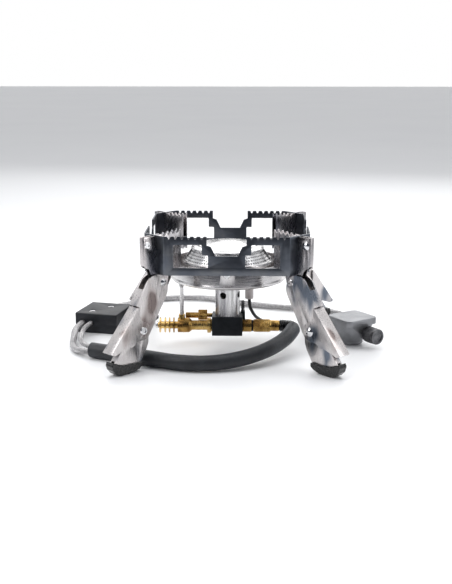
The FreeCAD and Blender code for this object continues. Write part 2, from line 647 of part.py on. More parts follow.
def nutSide(shape):
    shape.rotate(Vector(0, 0, 0), Vector(0, 0, 1), nutTurn)
    return shape


def makeValve():
    """Canister valve: a square head over a tapered boss, threaded from below, with its knob in front."""
    wide, deep = valveSize
    plateLow = valveTop - plateDeep
    plate = box(-wide / 2, wide / 2, -deep / 2, deep / 2, plateLow, valveTop)
    plate = plate.makeFillet(6.0, [e for e in plate.Edges if abs(e.Length - plateDeep) < 0.01])
    plate = plate.makeFillet(1.0, [e for e in plate.Edges if abs(e.CenterOfMass.z - valveTop) < 0.01])
    boss = Part.makeCone(bossRadius, 20.0, plateLow - 3.0, Vector(0, 0, 3.0))
    boss = boss.common(box(-wide / 2 + 1.5, wide / 2 - 1.5, -deep / 2 + 1.5, deep / 2 - 1.5, 0, plateLow))
    boss = boss.fuse(rod(bossRadius, (0, 0, 1.2), (0, 0, 3.0)))
    boss = boss.fuse(Part.makeCone(bossRadius - 1.2, bossRadius, 1.2))
    body = plate.fuse(boss)
    seat = rod(6.0, (knobX, -deep / 2 + 1.5, knobAxisHeight), (knobX, -4.0, knobAxisHeight))
    body = body.fuse(seat)
    neck = nutSide(rod(5.0, (0, 6.0, nutHeight), (0, nutStart, nutHeight)))
    body = body.fuse(neck)
    body = body.cut(rod(threadRadius, (0, 0, -1), (0, 0, threadDepth)))
    body = body.cut(rod(sealRadius, (0, 0, threadDepth - 1), (0, 0, threadDepth + sealThick)))
    body = body.cut(rod(1.5, (0, 0, threadDepth), (0, 0, 15.0)))
    body = body.cut(rod(2.5 + pinFit, (knobX, -deep, knobAxisHeight), (knobX, -1.0, knobAxisHeight)))
    body = body.cut(rod(4.1, (knobX, -deep, knobAxisHeight), (knobX, -12.6, knobAxisHeight)))
    body = body.cut(rod(1.2, (knobX, -2, knobAxisHeight), (0, 4.0, nutHeight)))
    body = body.cut(nutSide(rod(1.2, (0, 2.0, nutHeight), (0, deep, nutHeight))))
    save("valve_body", turnedBox(body.removeSplitter(), valveCentre, valveTurn))
    spindle = rod(2.5, (knobX, -deep / 2 - 12.6, knobAxisHeight), (knobX, -5.0, knobAxisHeight))
    spindle = spindle.fuse(Part.makeCone(2.5, 0.6, 3.0, Vector(knobX, -5.0, knobAxisHeight), Vector(0, 1, 0)))
    save("valve_spindle", turnedBox(spindle, valveCentre, valveTurn))
    seal = rod(4.05, (knobX, -14.0, knobAxisHeight), (knobX, -12.7, knobAxisHeight))
    seal = seal.cut(rod(2.55, (knobX, -15.0, knobAxisHeight), (knobX, -12.0, knobAxisHeight)))
    save("valve_o_ring", turnedBox(seal, valveCentre, valveTurn))
    start = -deep / 2 - 0.6
    knob = rod(knobRadius - 0.2, (knobX, start, knobAxisHeight), (knobX, start - 14.0, knobAxisHeight))
    knob = knob.fuse(rod(knobRadius, (knobX, start - 11.4, knobAxisHeight), (knobX, start - 13.4, knobAxisHeight)))
    knob = knob.cut(rod(5.2, (knobX, start - 13.4, knobAxisHeight), (knobX, start - 15.0, knobAxisHeight)))
    knob = knob.cut(rod(2.5, (knobX, start + 1, knobAxisHeight), (knobX, start - 12.0, knobAxisHeight)))
    save("valve_knob", turnedBox(knob, valveCentre, valveTurn))
    nut = hexBar(10.0, nutEnd - nutStart - 2.0, (0, nutStart, nutHeight), (0, 1, 0))
    nut = nut.fuse(rod(3.9, (0, nutEnd - 2.0, nutHeight), (0, nutEnd, nutHeight)))
    nut = nutSide(nut.cut(rod(1.2, (0, 0, nutHeight), (0, 50, nutHeight))))
    save("valve_hose_nut", turnedBox(nut, valveCentre, valveTurn))
    pin = rod(1.0, (0, 0, threadDepth + 0.2), (0, 0, 12.0))
    pin = pin.fuse(rod(1.5, (0, 0, threadDepth + sealThick), (0, 0, 14.0)))
    save("opening_pin", turnedBox(pin, valveCentre, valveTurn))
    gasket = rod(sealRadius, (0, 0, threadDepth), (0, 0, threadDepth + sealThick))
    gasket = gasket.cut(rod(2.2, (0, 0, 0), (0, 0, 20)))
    save("canister_gasket", turnedBox(gasket, valveCentre, valveTurn))


def main():
    makeRing()
    makeLegs()
    makePan()
    makeBurner()
    makeManifold()
    makeLeftBrass()
    makeRightBrass()
    makeElbow()
    makeIgniter()
    makeHoses()
    makeIgniterBox()
    makeValve()
    os.makedirs("parts", exist_ok=True)
    for name, shape in parts.items():
        shape.exportStep("parts/" + name + ".step")
        solids = len(shape.Solids)
        print(name, solids, "solids", "valid" if shape.isValid() else "NOT VALID", round(shape.Volume, 1))


main()
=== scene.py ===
import json
import math

import bmesh
import bpy
from mathutils import Matrix, Vector, noise

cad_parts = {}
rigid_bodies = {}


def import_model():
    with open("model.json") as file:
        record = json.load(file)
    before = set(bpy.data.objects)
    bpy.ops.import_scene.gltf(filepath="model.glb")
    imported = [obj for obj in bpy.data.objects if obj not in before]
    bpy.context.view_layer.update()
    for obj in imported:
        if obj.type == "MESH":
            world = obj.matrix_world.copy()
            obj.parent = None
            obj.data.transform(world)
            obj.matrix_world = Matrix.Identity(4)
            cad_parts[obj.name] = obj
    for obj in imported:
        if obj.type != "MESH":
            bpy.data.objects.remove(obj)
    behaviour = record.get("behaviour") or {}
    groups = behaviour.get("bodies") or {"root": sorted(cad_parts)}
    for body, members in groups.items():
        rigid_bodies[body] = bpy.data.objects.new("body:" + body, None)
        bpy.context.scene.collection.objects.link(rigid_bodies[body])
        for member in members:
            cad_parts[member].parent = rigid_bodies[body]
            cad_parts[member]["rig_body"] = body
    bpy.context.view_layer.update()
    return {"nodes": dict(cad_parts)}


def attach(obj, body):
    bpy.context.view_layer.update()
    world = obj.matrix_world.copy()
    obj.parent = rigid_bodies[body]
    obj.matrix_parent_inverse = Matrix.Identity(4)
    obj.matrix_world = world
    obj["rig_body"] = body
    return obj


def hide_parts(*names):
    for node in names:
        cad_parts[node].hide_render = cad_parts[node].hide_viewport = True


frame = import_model()
nodes = frame["nodes"]
legNames = ("front_right", "front_left", "rear_right", "rear_left")
legAngles = {"front_right": -45.0, "front_left": -135.0, "rear_right": 45.0, "rear_left": 135.0}
mm = 0.001    # metres in a millimetre: lengths below are in millimetres where this multiplies them


def addObject(name, data):
    obj = bpy.data.objects.new(name, data)
    bpy.context.scene.collection.objects.link(obj)
    return obj


def meshFrom(name, shape):
    data = bpy.data.meshes.new(name)
    shape.to_mesh(data)
    shape.free()
    return addObject(name, data)


def smooth(obj, degrees=30.0):
    obj.data.shade_smooth()
    obj.data.set_sharp_from_angle(angle=math.radians(degrees))


def finishPiece(obj, slot, *materials, body="stove", replaces=()):
    obj.data.materials.clear()
    for material in materials:
        obj.data.materials.append(material)
    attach(obj, body)
    if replaces:
        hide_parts(*replaces)
    return obj


def turnSpot(spot, centre, degrees):
    angle = math.radians(degrees)
    x = centre[0] + spot[0] * math.cos(angle) - spot[1] * math.sin(angle)
    y = centre[1] + spot[0] * math.sin(angle) + spot[1] * math.cos(angle)
    return (x, y, spot[2])


cameraView = {"place": (0.0222, -0.9432, 0.2753), "target": (-0.0023, 0.0, 0.05135),
              "lens": 64.68, "sensorWidth": 36.0, "nearest": 0.02}


def makeCamera():
    data = bpy.data.cameras.new("camera")
    data.lens = cameraView["lens"]
    data.sensor_width = cameraView["sensorWidth"]
    data.clip_start = cameraView["nearest"]
    obj = addObject("camera", data)
    obj.location = cameraView["place"]
    way = Vector(cameraView["target"]) - Vector(cameraView["place"])
    obj.rotation_euler = way.to_track_quat("-Z", "Y").to_euler()
    bpy.context.scene.camera = obj


makeCamera()


# Small builders for the nodes that every finish uses.
def newFinish(name):
    material = bpy.data.materials.new(name)
    material.use_nodes = True
    tree = material.node_tree
    return material, tree, tree.nodes["Principled BSDF"]


def objectSpot(tree, scale):
    coords = tree.nodes.new("ShaderNodeTexCoord")
    place = tree.nodes.new("ShaderNodeMapping")
    place.inputs["Scale"].default_value = scale
    tree.links.new(coords.outputs["Object"], place.inputs["Vector"])
    return place.outputs["Vector"]


def cloud(tree, scale, detail=3.0, roughness=0.55, vector=None):
    node = tree.nodes.new("ShaderNodeTexNoise")
    node.inputs["Scale"].default_value = 1.0
    node.inputs["Detail"].default_value = detail
    node.inputs["Roughness"].default_value = roughness
    tree.links.new(vector or objectSpot(tree, scale), node.inputs["Vector"])
    return node.outputs["Fac"]


def ramp(tree, value, stops):
    node = tree.nodes.new("ShaderNodeValToRGB")
    row = node.color_ramp.elements
    while len(row) < len(stops):
        row.new(0.5)
    for element, (spot, colour) in zip(row, stops):
        element.position = spot
        element.color = (*colour, 1.0)
    tree.links.new(value, node.inputs["Fac"])
    return node.outputs["Color"]


def spread(tree, value, low, high, darkest=0.3, lightest=0.7):
    node = tree.nodes.new("ShaderNodeMapRange")
    node.inputs["From Min"].default_value = darkest
    node.inputs["From Max"].default_value = lightest
    node.inputs["To Min"].default_value = low
    node.inputs["To Max"].default_value = high
    tree.links.new(value, node.inputs["Value"])
    return node.outputs["Result"]


def calc(tree, action, a, b=None):
    node = tree.nodes.new("ShaderNodeMath")
    node.operation = action
    for socket, value in zip(node.inputs, (a, b)):
        if value is None:
            continue
        if isinstance(value, (int, float)):
            socket.default_value = value
        else:
            tree.links.new(value, socket)
    return node.outputs[0]


def bump(tree, shader, height, depth, strength=1.0):
    node = tree.nodes.new("ShaderNodeBump")
    node.inputs["Distance"].default_value = depth
    node.inputs["Strength"].default_value = strength
    tree.links.new(height, node.inputs["Height"])
    tree.links.new(node.outputs["Normal"], shader.inputs["Normal"])


# What a look has where it doesn't say otherwise.
plainLook = {"detail": 3.0, "grainDetail": 2.0, "bumpStrength": 0.5, "metal": 0.0,
             "coat": 0.0, "coatRoughness": 0.05, "specular": 0.5}


def finish(name, ownLook):
    look = {**plainLook, **ownLook}
    material, tree, shader = newFinish(name)
    tint = ramp(tree, cloud(tree, look["cloudScale"], look["detail"]), look["tones"])
    tree.links.new(tint, shader.inputs["Base Color"])
    grain = cloud(tree, look["grainScale"], look["grainDetail"])
    tree.links.new(spread(tree, grain, *look["roughness"]), shader.inputs["Roughness"])
    bump(tree, shader, grain, look["bumpDepth"], look["bumpStrength"])
    shader.inputs["Metallic"].default_value = look["metal"]
    shader.inputs["Coat Weight"].default_value = look["coat"]
    shader.inputs["Coat Roughness"].default_value = look["coatRoughness"]
    shader.inputs["Specular IOR Level"].default_value = look["specular"]
    return material


# Clouds and grain are per metre along each axis; bumpDepth is in metres.
looks = {
    # The ring's panels: steel whose base colour is painted dark blue-grey, a painted reflection of
    # the dark surroundings the panels mirror.
    "ringPanelDarkReflection": {
        "cloudScale": (30, 30, 50), "grainScale": (300, 300, 1500), "metal": 1.0,
        "roughness": (0.30, 0.42), "bumpDepth": 0.000006,
        "tones": [(0.34, (0.075, 0.082, 0.098)), (0.5, (0.11, 0.12, 0.14)),
                  (0.68, (0.165, 0.17, 0.18))]},
    # The bevels and narrow edge faces of the sheet pieces: the same steel painted near-white, a
    # painted highlight along every rim.
    "paintedEdgeHighlight": {
        "cloudScale": (90, 90, 90), "grainScale": (900, 900, 900), "metal": 1.0,
        "roughness": (0.16, 0.28), "bumpDepth": 0.000004,
        "tones": [(0.35, (0.74, 0.74, 0.75)), (0.6, (0.92, 0.92, 0.93))]},
    "finPanel": {
        "cloudScale": (60, 60, 20), "grainScale": (700, 700, 160), "metal": 1.0, "detail": 1.0,
        "roughness": (0.20, 0.32), "bumpDepth": 0.000005,
        "tones": [(0.33, (0.13, 0.13, 0.15)), (0.46, (0.30, 0.295, 0.305)),
                  (0.58, (0.52, 0.49, 0.49)), (0.68, (0.62, 0.58, 0.58))]},
    "legPanel": {
        "cloudScale": (48, 48, 24), "grainScale": (1100, 1100, 90), "metal": 1.0, "detail": 1.5,
        "roughness": (0.24, 0.36), "bumpDepth": 0.000006,
        "tones": [(0.36, (0.13, 0.15, 0.185)), (0.41, (0.38, 0.375, 0.39)),
                  (0.47, (0.60, 0.57, 0.565)), (0.60, (0.66, 0.63, 0.62)),
                  (0.66, (0.52, 0.47, 0.455)), (0.70, (0.27, 0.225, 0.215))]},
    "rivetHead": {
        "cloudScale": (160, 160, 160), "grainScale": (700, 700, 700), "metal": 1.0,
        "roughness": (0.10, 0.20), "bumpDepth": 0.000003,
        "tones": [(0.4, (0.56, 0.56, 0.57)), (0.6, (0.78, 0.78, 0.79))]},
    "spunPan": {
        "cloudScale": (16, 16, 30), "grainScale": (60, 60, 900), "metal": 1.0, "detail": 1.5,
        "roughness": (0.20, 0.32), "bumpDepth": 0.000001,
        "tones": [(0.36, (0.42, 0.395, 0.39)), (0.5, (0.62, 0.60, 0.60)),
                  (0.64, (0.74, 0.73, 0.73))]},
    "burnerSteel": {
        "cloudScale": (50, 50, 90), "grainScale": (90, 90, 900), "metal": 1.0, "detail": 1.0,
        "roughness": (0.20, 0.30), "bumpDepth": 0.000001,
        "tones": [(0.35, (0.56, 0.555, 0.56)), (0.6, (0.76, 0.755, 0.76))]},
    "tubeSteel": {
        "cloudScale": (230, 230, 10), "grainScale": (1200, 1200, 60), "metal": 1.0, "detail": 1.0,
        "roughness": (0.20, 0.34), "bumpDepth": 0.000005,
        "tones": [(0.34, (0.34, 0.335, 0.35)), (0.5, (0.60, 0.59, 0.60)),
                  (0.66, (0.74, 0.73, 0.73))]},
    # The burner skirt's inner faces and hole walls: painted near-black, painted shade that makes
    # the perforations read dark.
    "skirtInsideShade": {
        "cloudScale": (120, 120, 120), "grainScale": (700, 700, 700), "metal": 0.3,
        "roughness": (0.6, 0.75), "bumpDepth": 0.00001,
        "tones": [(0.35, (0.012, 0.012, 0.013)), (0.65, (0.035, 0.033, 0.032))]},
    "blackAnodised": {
        "cloudScale": (120, 120, 120), "grainScale": (1600, 1600, 1600), "metal": 0.3,
        "roughness": (0.42, 0.56), "bumpDepth": 0.00001,
        "tones": [(0.35, (0.004, 0.006, 0.009)), (0.65, (0.012, 0.016, 0.021))]},
    "brass": {
        "cloudScale": (90, 60, 60), "grainScale": (1500, 120, 120), "metal": 1.0, "detail": 2.0,
        "roughness": (0.18, 0.30), "bumpDepth": 0.000005,
        "tones": [(0.33, (0.30, 0.165, 0.05)), (0.47, (0.58, 0.36, 0.11)),
                  (0.66, (0.80, 0.55, 0.21))]},
    "darkSteel": {
        "cloudScale": (200, 200, 200), "grainScale": (900, 900, 900), "metal": 1.0,
        "roughness": (0.28, 0.42), "bumpDepth": 0.000005,
        "tones": [(0.35, (0.06, 0.06, 0.065)), (0.65, (0.15, 0.15, 0.155))]},
    "leadRubber": {
        "cloudScale": (200, 200, 200), "grainScale": (1800, 1800, 1800), "specular": 0.4,
        "roughness": (0.36, 0.50), "bumpDepth": 0.000006,
        "tones": [(0.35, (0.003, 0.003, 0.004)), (0.65, (0.009, 0.009, 0.010))]},
    "bootRubber": {
        "cloudScale": (150, 150, 150), "grainScale": (500, 500, 500), "specular": 0.4,
        "coat": 0.25, "coatRoughness": 0.12, "roughness": (0.20, 0.32), "bumpDepth": 0.00001,
        "tones": [(0.35, (0.0015, 0.0015, 0.002)), (0.65, (0.006, 0.006, 0.007))]},
    "glazedCeramic": {
        "cloudScale": (130, 130, 60), "grainScale": (900, 900, 900), "coat": 0.5,
        "roughness": (0.25, 0.38), "bumpDepth": 0.000004,
        "tones": [(0.35, (0.58, 0.53, 0.525)), (0.65, (0.74, 0.70, 0.695))]},
    "boxPlastic": {
        "cloudScale": (90, 90, 90), "grainScale": (1900, 1900, 1900), "specular": 0.38,
        "roughness": (0.44, 0.58), "bumpDepth": 0.00002,
        "tones": [(0.35, (0.006, 0.007, 0.010)), (0.65, (0.014, 0.016, 0.021))]},
    "blastedAlloy": {
        "cloudScale": (70, 70, 70), "grainScale": (2300, 2300, 2300), "metal": 0.9,
        "roughness": (0.42, 0.56), "bumpDepth": 0.00002,
        "tones": [(0.35, (0.235, 0.24, 0.25)), (0.65, (0.315, 0.32, 0.335))]},
    "jacketedBraid": {
        "cloudScale": (700, 700, 700), "detail": 2.0, "grainScale": (2200, 2200, 2200),
        "metal": 0.55, "coat": 0.8, "coatRoughness": 0.06, "roughness": (0.22, 0.38),
        "bumpDepth": 0.00004, "bumpStrength": 1.0,
        "tones": [(0.35, (0.30, 0.295, 0.30)), (0.52, (0.44, 0.43, 0.435)),
                  (0.68, (0.56, 0.55, 0.555))]},
}
finishes = {name: finish(name, look) for name, look in looks.items()}

# The finish of each material slot that the CAD nodes carry.
slotFinish = {
    "ring_steel": "ringPanelDarkReflection", "bracket_steel": "finPanel", "leg_steel": "legPanel",
    "rivet_steel": "rivetHead", "pan_steel": "spunPan", "burner_steel": "burnerSteel",
    "black_anodised": "blackAnodised", "brass": "brass", "dark_steel": "darkSteel",
    "black_rubber": "leadRubber", "gloss_rubber": "bootRubber", "ceramic": "glazedCeramic",
    "braid": "burnerSteel", "black_plastic": "boxPlastic", "valve_alloy": "blastedAlloy"}
print("finishes made")


# The three cords: width, length and route in millimetres, each route as the CAD tube runs.
sleeve = {"width": 13.8, "length": 221.6, "step": 1.0, "sides": 40, "fill": 0.985,
          "lump": 0.02, "lumpPitch": 55.0, "lumpSpread": 0.8,
          "route": [(59.427, -13.749, 19.8), (55.6, -26.5, 17.8), (48.0, -40.5, 15.2),
                    (35.5, -55.5, 12.2), (17.5, -69.5, 9.4), (-3.5, -78.4, 7.6),
                    (-26.0, -80.8, 7.0), (-46.8, -75.8, 6.9), (-64.8, -66.0, 6.9),
                    (-93.0, -54.4, 6.9), (-122.0, -40.6, 6.9)]}
hose = {"width": 6.0, "length": 521.4, "strands": 12, "turn": 21.0, "step": 0.9,
        "route": [(-123.5, -42.6, 5.6), (-133.2, -35.4, 4.2), (-140.4, -25.0, 3.3),
                  (-144.4, -11.4, 3.6), (-145.6, 4.0, 5.0), (-147.2, 18.0, 7.6),
                  (-146.3, 32.2, 9.6), (-131.4, 94.5, 9.6), (-121.0, 124.0, 5.4),
                  (-106.0, 149.0, 3.2), (-84.0, 168.0, 3.1), (-56.0, 176.4, 3.1),
                  (-26.0, 174.0, 3.2), (2.0, 158.0, 3.1), (28.0, 143.0, 3.1),
                  (56.0, 134.4, 3.2), (82.0, 128.6, 3.1), (102.5, 120.0, 3.1),
                  (115.0, 106.0, 3.2), (117.0, 88.0, 4.4), (112.4, 70.0, 8.6),
                  (110.93, 52.70, 12.0), (112.63, 38.81, 12.0)]}
cable = {"width": 4.6, "length": 84.0, "strands": 8, "turn": 15.0, "step": 0.8,
         "route": [(-121.2, -37.6, 7.9), (-129.2, -30.6, 8.3), (-134.8, -20.4, 8.3),
                   (-137.6, -7.0, 8.5), (-138.6, 8.6, 9.0), (-138.8, 25.0, 9.8),
                   (-135.03, 40.80, 10.0)]}
# The braid's flat strands, as shares of the cord's width or of a strand.
braiding = {"core": 0.86, "coreSides": 16, "strand": 0.055, "strandSides": 4, "flat": 1.5,
            "room": 1.05, "weave": 0.55}
curveSteps = 16


def readRoute(name, points):
    curve = bpy.data.curves.new(name, "CURVE")
    curve.dimensions = "3D"
    curve.resolution_u = curveSteps
    spline = curve.splines.new("NURBS")
    spline.points.add(len(points) - 1)
    for point, spot in zip(spline.points, points):
        point.co = (spot[0] * mm, spot[1] * mm, spot[2] * mm, 1.0)
    spline.order_u = 3
    spline.use_endpoint_u = True
    obj = addObject(name, curve)
    bpy.context.view_layer.update()
    line = bpy.data.meshes.new_from_object(obj)
    spots = [v.co.copy() for v in line.vertices]
    bpy.data.objects.remove(obj)
    return spots


def evenly(spots, step):
    lengths = [0.0]
    for a, b in zip(spots, spots[1:]):
        lengths.append(lengths[-1] + (b - a).length)
    count = max(2, round(lengths[-1] / step))
    out = []
    place = 0
    for k in range(count + 1):
        want = lengths[-1] * k / count
        while place < len(spots) - 2 and lengths[place + 1] < want:
            place += 1
        gap = lengths[place + 1] - lengths[place]
        share = (want - lengths[place]) / gap if gap else 0.0
        out.append(spots[place].lerp(spots[place + 1], share))
    return out, lengths[-1]


# A side and an up direction at each spot, carried along without twisting.
def carryFrames(spots):
    rows = []
    side = None
    for k, spot in enumerate(spots):
        way = (spots[min(k + 1, len(spots) - 1)] - spots[max(k - 1, 0)]).normalized()
        if side is None:
            side = way.cross(Vector((0, 0, 1))).normalized()
        side = (side - way * side.dot(way)).normalized()
        rows.append((spot, side, way.cross(side)))
    return rows


def sweep(spots, radiusAt, sides, mesh=None):
    shape = mesh or bmesh.new()
    uv = shape.loops.layers.uv.verify()
    rows = carryFrames(spots)
    along = 0.0
    rings = []
    marks = []
    for k, (spot, side, up) in enumerate(rows):
        if k:
            along += (spot - rows[k - 1][0]).length
        ring = []
        for j in range(sides):
            angle = 2 * math.pi * j / sides
            radius = radiusAt(along, angle)
            outward = side * math.cos(angle) + up * math.sin(angle)
            ring.append(shape.verts.new(spot + outward * radius))
        rings.append(ring)
        marks.append(along)
    for k in range(len(rings) - 1):
        for j in range(sides):
            following = (j + 1) % sides
            here, ahead = rings[k], rings[k + 1]
            face = shape.faces.new((here[j], here[following], ahead[following], ahead[j]))
            face.smooth = True
            corners = ((j, k), (j + 1, k), (j + 1, k + 1), (j, k + 1))
            for loop, (a, b) in zip(face.loops, corners):
                loop[uv].uv = (a / sides, marks[b])
    shape.faces.new(list(reversed(rings[0])))
    shape.faces.new(rings[-1])
    return shape


sleeveLook = {"threads": 22, "pitch": 0.0018, "weaveShare": 0.35, "patchScale": (60, 60, 60),
              "patchDetail": 4.0, "grainScale": (500, 500, 500), "grainDetail": 2.0,
              "roughness": (0.42, 0.60), "bumpDepth": 0.00009, "bumpStrength": 0.55,
              "sheen": 0.10, "sheenRoughness": 0.45, "sheenTint": (0.62, 0.72, 0.88, 1.0),
              "tones": [(0.3, (0.005, 0.0055, 0.007)), (0.5, (0.012, 0.0135, 0.017)),
                        (0.7, (0.026, 0.029, 0.035))]}


# A woven cloth: two crossing waves along the tube's own UV.
def sleeveFinish():
    look = sleeveLook
    material, tree, shader = newFinish("sleeveCloth")
    coords = tree.nodes.new("ShaderNodeTexCoord")
    split = tree.nodes.new("ShaderNodeSeparateXYZ")
    tree.links.new(coords.outputs["UV"], split.inputs["Vector"])
    around = calc(tree, "MULTIPLY", split.outputs["X"], 2 * math.pi * look["threads"])
    along = calc(tree, "MULTIPLY", split.outputs["Y"], 2 * math.pi / look["pitch"])
    first = calc(tree, "SINE", calc(tree, "ADD", around, along))
    second = calc(tree, "SINE", calc(tree, "SUBTRACT", around, along))
    weave = calc(tree, "MULTIPLY_ADD", calc(tree, "MULTIPLY", first, second), 0.5)
    weave.node.inputs[2].default_value = 0.5
    patch = cloud(tree, look["patchScale"], look["patchDetail"])
    woven = calc(tree, "MULTIPLY", weave, look["weaveShare"])
    worn = calc(tree, "MULTIPLY", patch, 1 - look["weaveShare"])
    tint = ramp(tree, calc(tree, "ADD", woven, worn), look["tones"])
    tree.links.new(tint, shader.inputs["Base Color"])
    grain = cloud(tree, look["grainScale"], look["grainDetail"])
    tree.links.new(spread(tree, grain, *look["roughness"]), shader.inputs["Roughness"])
    bump(tree, shader, weave, look["bumpDepth"], look["bumpStrength"])
    shader.inputs["Sheen Weight"].default_value = look["sheen"]
    shader.inputs["Sheen Roughness"].default_value = look["sheenRoughness"]
    shader.inputs["Sheen Tint"].default_value = look["sheenTint"]
    return material


# A core with strands wound both ways, each strand going over and under the others.
def braidedTube(name, cord):
    spots, _ = evenly(readRoute(name + "_line", cord["route"]), cord["step"] * mm)
    core = cord["width"] / 2 * braiding["core"] * mm
    shape = sweep(spots, lambda along, angle: core, braiding["coreSides"])
    rows = carryFrames(spots)
    wire = cord["width"] * braiding["strand"] * mm
    reach = cord["width"] / 2 * mm - wire * braiding["room"]
    dip = wire * braiding["weave"]

    def strandRadius(along, angle):
        return wire if abs(math.cos(angle)) < 0.5 else wire * braiding["flat"]

    for way in (1, -1):
        for k in range(cord["strands"]):
            line = []
            along = 0.0
            phase = 2 * math.pi * k / cord["strands"]
            for j, (spot, side, up) in enumerate(rows):
                if j:
                    along += (spot - rows[j - 1][0]).length
                angle = phase + way * 2 * math.pi * along / (cord["turn"] * mm)
                weave = math.sin(cord["strands"] * angle / 2 + way * math.pi / 4)
                radius = reach - dip + dip * weave
                line.append(spot + (side * math.cos(angle) + up * math.sin(angle)) * radius)
            sweep(line, strandRadius, braiding["strandSides"], shape)
    return meshFrom(name, shape), spots


def makeSleeve():
    spots, real = evenly(readRoute("sleeve_line", sleeve["route"]), sleeve["step"] * mm)
    half = sleeve["width"] / 2 * mm
    around = sleeve["lumpSpread"]

    def sleeveRadius(along, angle):
        place = (along * sleeve["lumpPitch"], math.cos(angle) * around, math.sin(angle) * around)
        return half * (sleeve["fill"] + sleeve["lump"] * noise.noise(Vector(place)))

    sleeved = meshFrom("hose_sleeve", sweep(spots, sleeveRadius, sleeve["sides"]))
    print("sleeve", round(real / mm, 1))
    finishPiece(sleeved, "black_rubber", sleeveFinish(), replaces=("sleeved_hose",))


def makeBraidedCord(name, cord, node):
    obj, spots = braidedTube(name, cord)
    finishPiece(obj, "braid", finishes["jacketedBraid"], replaces=(node,))
    return obj, spots


makeSleeve()
gasHose, gasSpots = makeBraidedCord("gas_hose", hose, "braided_hose")
sparkCable, sparkSpots = makeBraidedCord("spark_cable", cable, "ignition_cable")
print("cords laid")


studio = {
    "topLight": {"place": (0.0, 0.15, 0.95), "target": (0, 0, 0), "size": (1.1, 0.9),
                 "power": 6.5},
    "keyLight": {"place": (-0.75, -0.45, 0.75), "target": (0, 0, 0.05), "size": (0.6, 0.6),
                 "power": 5.5},
    "sideLight": {"place": (0.9, -0.25, 0.5), "target": (0, 0, 0.05), "size": (0.35, 0.8),
                  "power": 2.5},
    "backLight": {"place": (0.2, 1.1, 0.6), "target": (0, 0, 0.05), "size": (1.4, 0.6),
                  "power": 4.0}}
floorLook = {"half": 6.0, "drop": 0.0002, "scale": (3, 3, 3), "detail": 2.0, "roughness": 0.42,
             "tones": [(0.3, (0.90, 0.905, 0.915)), (0.7, (0.93, 0.935, 0.94))]}
# What the metal mirrors, from the front of the room to the back.
roomTones = [(0.0, (0.05, 0.055, 0.07)), (0.42, (0.16, 0.17, 0.20)), (0.60, (0.75, 0.76, 0.78)),
             (1.0, (1.0, 1.0, 1.0))]


def floorFinish():
    material, tree, shader = newFinish("paleFloor")
    tint = ramp(tree, cloud(tree, floorLook["scale"], floorLook["detail"]), floorLook["tones"])
    tree.links.new(tint, shader.inputs["Base Color"])
    shader.inputs["Roughness"].default_value = floorLook["roughness"]
    return material


def makeFloor():
    shape = bmesh.new()
    bmesh.ops.create_grid(shape, x_segments=1, y_segments=1, size=floorLook["half"])
    bmesh.ops.translate(shape, verts=shape.verts, vec=(0, 0, -floorLook["drop"]))
    floor = meshFrom("floor", shape)
    floor.data.materials.append(floorFinish())


def softbox(name, light):
    data = bpy.data.lights.new(name, "AREA")
    data.shape = "RECTANGLE"
    data.size, data.size_y = light["size"]
    data.energy = light["power"]
    obj = addObject(name, data)
    obj.location = light["place"]
    way = Vector(light["target"]) - Vector(light["place"])
    obj.rotation_euler = way.to_track_quat("-Z", "Y").to_euler()


# The camera sees white behind the object; reflections see a room that darkens to the front.
def makeWorld():
    world = bpy.data.worlds.new("studio")
    bpy.context.scene.world = world
    world.use_nodes = True
    tree = world.node_tree
    back = tree.nodes["Background"]
    coords = tree.nodes.new("ShaderNodeTexCoord")
    split = tree.nodes.new("ShaderNodeSeparateXYZ")
    tree.links.new(coords.outputs["Generated"], split.inputs["Vector"])
    depth = calc(tree, "MULTIPLY_ADD", split.outputs["Y"], 0.5)
    depth.node.inputs[2].default_value = 0.5
    shade = ramp(tree, depth, roomTones)
    path = tree.nodes.new("ShaderNodeLightPath")
    mix = tree.nodes.new("ShaderNodeMix")
    mix.data_type = "RGBA"
    tree.links.new(path.outputs["Is Camera Ray"], mix.inputs["Factor"])
    tree.links.new(shade, mix.inputs[6])
    mix.inputs[7].default_value = (1.0, 1.0, 1.0, 1.0)
    tree.links.new(mix.outputs[2], back.inputs["Color"])
    back.inputs["Strength"].default_value = 1.0


bpy.context.scene.view_settings.view_transform = "Standard"
makeFloor()
makeWorld()
for name, light in studio.items():
    softbox(name, light)
print("studio set")


# Softened copies of the rigid pieces. Widths are in millimetres and angles in degrees.
softening = {"width": 0.16, "segments": 2, "turn": 24.0, "stripWidth": 0.75, "flatShare": 0.92,
             "weld": 0.002, "flatAngle": 0.6, "shadeAngle": 28.0}
sheetNodes = ["pot_ring"] + ["%s_%s" % (kind, leg) for leg in legNames
                             for kind in ("corner_bracket", "upper_leg", "knee_channel",
                                          "lower_leg")]


# The directions in which a piece of bent sheet has its broad faces.
def sheetAxes(name):
    if name == "pot_ring":
        turns = [math.radians(45 * k) for k in range(8)]
        return [Vector((math.cos(a), math.sin(a), 0)) for a in turns]
    angle = math.radians(legAngles[name.split("_", 2)[2]])
    return [Vector((-math.sin(angle), math.cos(angle), 0))]


def isSheetFace(face, axes):
    if any(abs(face.normal.dot(axis)) > softening["flatShare"] for axis in axes):
        return True
    return 2 * face.calc_area() / face.calc_perimeter() > softening["stripWidth"] * mm


